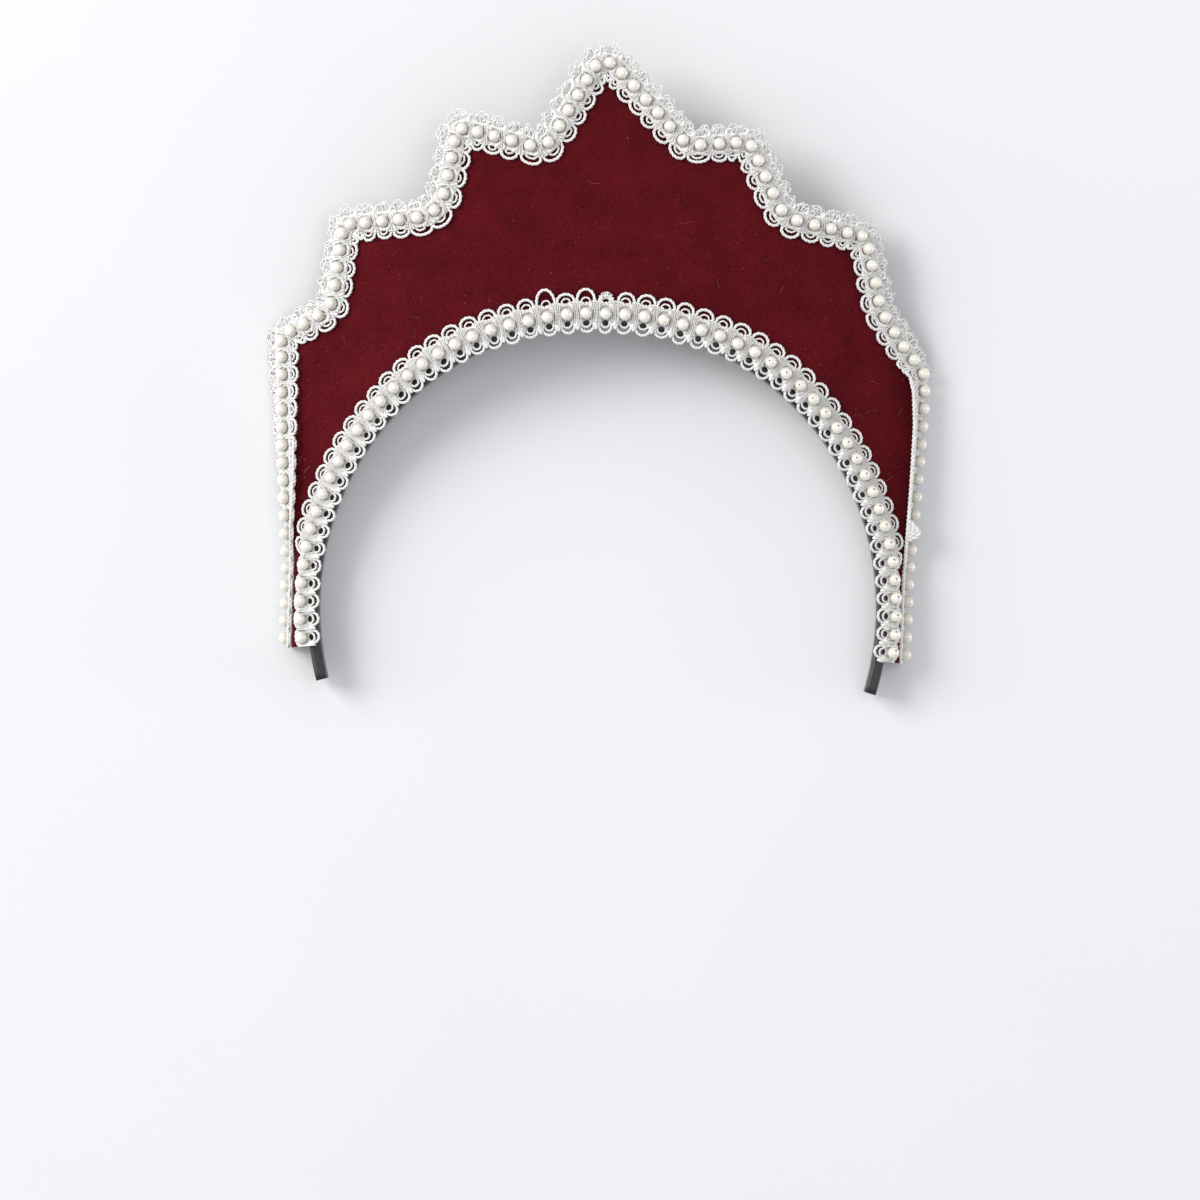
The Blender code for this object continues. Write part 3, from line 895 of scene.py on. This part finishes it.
def paint_braid_shade(piece, points, braids):
    """Paint shade on the velvet under the braids that lie on it, and a little beyond them."""
    under = []
    for braid in braids:
        place = np.arange(0.0, braid.path.length, BRAID_SHADE_STEP)[:, None]
        v = np.linspace(0.0, VELVET_REACH - BRAID_SHADE_STEP, BRAID_SHADE_ROWS)[None] / MM
        place, v = np.broadcast_arrays(place, v)
        located, _ = braid.path.locate(place, braid.across(place, v), np.zeros(v.shape))
        under.append(located.reshape(-1, 3))
    under = np.concatenate(under)
    tree = KDTree(len(under))
    for index, point in enumerate(under):
        tree.insert(point, index)
    tree.balance()
    near = np.array([tree.find(point)[2] for point in points])
    shade = np.clip((BRAID_SHADE_REACH + BRAID_SHADE_FADE - near) / BRAID_SHADE_FADE, 0.0, 1.0)
    piece.data.attributes.new("painted_braid_shade", "FLOAT", "POINT").data.foreach_set("value", shade)


def band():
    """The hair band, its four long edges rounded and its two ends closed."""
    outer = ARCH_RADIUS - GAP
    line = arch_line(1.0, BAND_END_ANGLE, BAND_SECTIONS)
    front = -bend(line[:, 0] * outer) - BAND_SET_BACK
    flat = np.array((BAND_THICKNESS, BAND_WIDTH)) / 2.0 - BAND_ROUNDING
    profile = []
    for index, corner in enumerate(((-1, -1), (1, -1), (1, 1), (-1, 1))):
        for step in range(BAND_ROUND_STEPS + 1):
            angle = math.pi + (index + step / BAND_ROUND_STEPS) * math.pi / 2.0
            profile.append(corner * flat + BAND_ROUNDING * np.array((math.cos(angle), math.sin(angle))))
    profile = np.array(profile)
    radius = outer - BAND_THICKNESS / 2.0 + profile[:, 0]
    z = front[:, None] - BAND_WIDTH / 2.0 - profile[:, 1]
    points = np.concatenate((line[:, None] * radius[:, None], z[..., None]), axis=-1)
    return smooth(points.reshape(-1, 3), ring_faces(1, len(line), len(profile)))


# Materials

WHITE = (1.0, 1.0, 1.0)


class Finish:
    """A material whose colour and relief come from noise in the object's own space."""

    def __init__(self, name, values):
        self.material = bpy.data.materials.new(name)
        self.material.use_nodes = True
        self.tree = self.material.node_tree
        self.shader = self.tree.nodes["Principled BSDF"]
        for socket, value in values.items():
            self.shader.inputs[socket].default_value = value
        self.place = self.tree.nodes.new("ShaderNodeTexCoord").outputs["Object"]

    def noise(self, scale, detail=3.0, roughness=0.6):
        """Noise of the given scale per metre."""
        node = self.tree.nodes.new("ShaderNodeTexNoise")
        node.inputs["Scale"].default_value = scale
        node.inputs["Detail"].default_value = detail
        node.inputs["Roughness"].default_value = roughness
        self.tree.links.new(self.place, node.inputs["Vector"])
        return node.outputs["Fac"]

    def ramp(self, value, stops):
        """Colours along a value."""
        node = self.tree.nodes.new("ShaderNodeValToRGB")
        elements = node.color_ramp.elements
        while len(elements) < len(stops):
            elements.new(0.5)
        for element, (position, colour) in zip(elements, stops):
            element.position = position
            element.color = (*colour, 1.0)
        self.tree.links.new(value, node.inputs["Fac"])
        return node.outputs["Color"]

    def multiplied(self, first, second):
        """Two colours multiplied."""
        node = self.tree.nodes.new("ShaderNodeMix")
        node.data_type = "RGBA"
        node.blend_type = "MULTIPLY"
        node.inputs["Factor"].default_value = 1.0
        self.tree.links.new(first, node.inputs[6])
        self.tree.links.new(second, node.inputs[7])
        return node.outputs[2]

    def colour(self, value):
        """The base colour."""
        self.tree.links.new(value, self.shader.inputs["Base Color"])

    def attribute(self, name):
        """A value that the mesh holds."""
        node = self.tree.nodes.new("ShaderNodeAttribute")
        node.attribute_name = name
        return node.outputs["Fac"]

    def relief(self, value, strength, distance):
        """Bumps as deep as the distance."""
        node = self.tree.nodes.new("ShaderNodeBump")
        node.inputs["Strength"].default_value = strength
        node.inputs["Distance"].default_value = distance
        self.tree.links.new(value, node.inputs["Height"])
        self.tree.links.new(node.outputs["Normal"], self.shader.inputs["Normal"])


def velvet_finish():
    """Burgundy pile, clouded where it leans, with painted shade under and beside the braids."""
    finish = Finish("burgundy_velvet", {"Roughness": 0.85, "Specular IOR Level": 0.06, "Sheen Weight": 0.14,
                                        "Sheen Roughness": 0.4, "Sheen Tint": (0.85, 0.10, 0.15, 1.0)})
    pile = finish.ramp(finish.noise(2100.0, 2.0, 0.7), ((0.32, (0.058, 0.0028, 0.0052)),
                                                        (0.70, (0.132, 0.0067, 0.0116))))
    cloud = finish.ramp(finish.noise(80.0, 6.0, 0.75), ((0.36, (0.68, 0.66, 0.66)), (0.64, WHITE)))
    # painted shade: darker under the braids and a little beyond them
    painted_braid_shade = finish.ramp(finish.attribute("painted_braid_shade"), ((0.0, WHITE), (1.0, (0.22, 0.20, 0.20))))
    finish.colour(finish.multiplied(finish.multiplied(pile, cloud), painted_braid_shade))
    finish.relief(finish.noise(2600.0, 2.0), 0.5, 0.25 * MM)
    return finish.material


def cord_finish():
    """White cotton thread, with painted shade between its plies and at its stitches."""
    finish = Finish("white_cord", {"Roughness": 0.6, "Specular IOR Level": 0.35, "Sheen Weight": 0.1})
    thread = finish.ramp(finish.noise(900.0), ((0.25, (0.885, 0.885, 0.88)), (0.7, (0.94, 0.94, 0.935))))
    # painted shade between the plies, at the stitches and in the lace's hollows
    painted_shade = finish.ramp(finish.attribute("painted_shade"), ((0.1, WHITE), (1.0, (0.66, 0.645, 0.62))))
    finish.colour(finish.multiplied(thread, painted_shade))
    finish.relief(finish.noise(2200.0, 4.0, 0.65), 0.8, 0.22 * MM)
    return finish.material


def lint_finish():
    """Pale fibres that take on some of the velvet's red."""
    finish = Finish("pale_lint", {"Roughness": 0.9, "Specular IOR Level": 0.1})
    finish.colour(finish.ramp(finish.noise(90.0), ((0.35, (0.20, 0.05, 0.05)), (0.65, (0.46, 0.27, 0.26)))))
    finish.relief(finish.noise(4000.0, 1.0), 0.2, 0.05 * MM)
    return finish.material


def hole_shade_finish():
    """Painted shade: the dark inside of a drill hole."""
    finish = Finish("painted_hole_shade", {"Roughness": 0.5, "Specular IOR Level": 0.3})
    # painted shade inside the drill holes
    finish.colour(finish.ramp(finish.noise(700.0), ((0.3, (0.11, 0.095, 0.08)), (0.7, (0.19, 0.17, 0.14)))))
    finish.relief(finish.noise(4000.0, 1.0), 0.2, 0.05 * MM)
    return finish.material


def pearl_finish():
    """Ivory under a glossy coat, with painted shade towards the pearl's foot."""
    finish = Finish("ivory_pearl", {"Roughness": 0.34, "Specular IOR Level": 0.5, "Coat Weight": 1.0,
                                    "Coat Roughness": 0.03, "Coat IOR": 1.9})
    tint = finish.ramp(finish.noise(240.0, 1.0), ((0.30, (0.75, 0.725, 0.645)), (0.50, (0.80, 0.785, 0.72)),
                                                  (0.70, (0.765, 0.715, 0.655))))
    # painted shade towards the pearl's foot
    shaded = finish.ramp(finish.attribute("painted_shade"), ((0.0, WHITE), (1.0, (0.80, 0.765, 0.70))))
    finish.colour(finish.multiplied(tint, shaded))
    finish.relief(finish.noise(1400.0, 1.0), 0.05, 0.05 * MM)
    return finish.material


def band_finish():
    """Black satin."""
    finish = Finish("black_satin", {"Roughness": 0.42, "Specular IOR Level": 0.45, "Sheen Weight": 0.1})
    weave = finish.ramp(finish.noise(420.0), ((0.3, (0.006, 0.006, 0.009)), (0.7, (0.016, 0.016, 0.021))))
    finish.colour(weave)
    finish.relief(finish.noise(3800.0, 2.0), 0.3, 0.08 * MM)
    return finish.material


def floor_finish():
    """Pale matt paper."""
    finish = Finish("pale_floor", {"Roughness": 0.9, "Specular IOR Level": 0.1})
    paper = finish.ramp(finish.noise(6.0, 2.0), ((0.3, (0.712, 0.717, 0.737)), (0.7, (0.727, 0.732, 0.752))))
    finish.colour(paper)
    return finish.material


# Studio

def add_camera():
    """A camera straight in front of the crown, as far away as the photograph's."""
    right = Vector((math.cos(FRAME_ROLL), math.sin(FRAME_ROLL), 0.0))
    up = Vector((-math.sin(FRAME_ROLL), math.cos(FRAME_ROLL), 0.0))
    back = Vector((0.0, 0.0, 1.0))
    place = right * FRAME_MIDDLE[0] + up * FRAME_MIDDLE[1] + back * CAMERA_DISTANCE
    data = bpy.data.cameras.new("camera")
    data.sensor_width = SENSOR_WIDTH
    data.lens = SENSOR_WIDTH * CAMERA_DISTANCE / FRAME_WIDTH
    data.clip_end = CLIP_END
    camera = bpy.data.objects.new("camera", data)
    axes = Matrix.Rotation(REST_TILT, 3, "X") @ Matrix((right, up, back)).transposed()
    camera.matrix_world = Matrix.Translation(Vector(settle([place])[0])) @ axes.to_4x4()
    bpy.context.scene.collection.objects.link(camera)
    bpy.context.scene.camera = camera


def add_light(name, place, size, power, colour):
    """A square soft light that points at the crown."""
    data = bpy.data.lights.new(name, "AREA")
    data.size = size
    data.energy = power
    data.color = colour
    light = bpy.data.objects.new(name, data)
    light.location = place
    light.rotation_euler = Vector(place).to_track_quat("Z", "Y").to_euler()
    bpy.context.scene.collection.objects.link(light)


def add_floor():
    """A pale floor under everything."""
    mesh = bpy.data.meshes.new("floor")
    corners = [(x * FLOOR_REACH, y * FLOOR_REACH, 0.0) for x, y in ((-1, -1), (1, -1), (1, 1), (-1, 1))]
    mesh.from_pydata(corners, [], [(0, 1, 2, 3)])
    mesh.materials.append(floor_finish())
    floor = bpy.data.objects.new("floor", mesh)
    bpy.context.scene.collection.objects.link(floor)


def add_studio():
    """A pale sky and soft lights, the strongest from the upper left."""
    world = bpy.data.worlds.new("studio")
    world.use_nodes = True
    background = world.node_tree.nodes["Background"]
    background.inputs["Color"].default_value = (*SKY_COLOUR, 1.0)
    background.inputs["Strength"].default_value = SKY_STRENGTH
    bpy.context.scene.world = world
    bpy.context.scene.view_settings.view_transform = "Standard"
    for light in LIGHTS:
        add_light(*light)


def main():
    """Every piece, then the floor, the lights and the camera."""
    edge = board_edge()
    cord = cord_finish()
    pearl = pearl_finish()
    outer_path = Path(divided(edge, PATH_STEP), outer_side)
    arch_path = Path(arch_row_line(ARCH_SECTIONS), arch_side(edge))
    outer = Braid("outer_braid", outer_path, OUTER_PEARLS, 0.0, False)
    arch = Braid("arch_braid", arch_path, ARCH_PEARLS, ARCH_PITCH_EASE, True)
    velvet = cover(edge)
    piece = add_mesh("velvet_cover", velvet, velvet_finish(), "crown_panel")
    # painted shade on the velvet under the braids
    paint_braid_shade(piece, velvet[0], (outer, arch))
    add_mesh("velvet_lint", lint(edge), lint_finish(), "crown_panel")
    add_mesh("satin_hair_band", band(), band_finish(), "hair_band")
    for braid in (outer, arch):
        parts = [
            ("wide_loops", loop_cords(braid, "wide_loops"), cord),
            ("narrow_loops", loop_cords(braid, "narrow_loops"), cord),
            ("lace", lace_body(braid), cord),
            ("threads", body_strands(braid), cord),
            ("knots", knot_cords(braid), cord),
            ("pearls", pearls(braid), pearl),
        ]
        if braid is outer:
            parts.append(("picots", picots(braid), cord))
            parts.append(("ropes", edge_ropes(braid), cord))
            parts.append(("fold", fold_cords(braid), cord))
        else:
            parts.append(("snarl", snarl(braid), cord))
            parts.append(("drill_holes", drill_holes(braid), hole_shade_finish()))
        for part, shape, material in parts:
            add_mesh(braid.name + "_" + part, shape, material, braid.name)
    add_floor()
    add_studio()
    add_camera()


main()
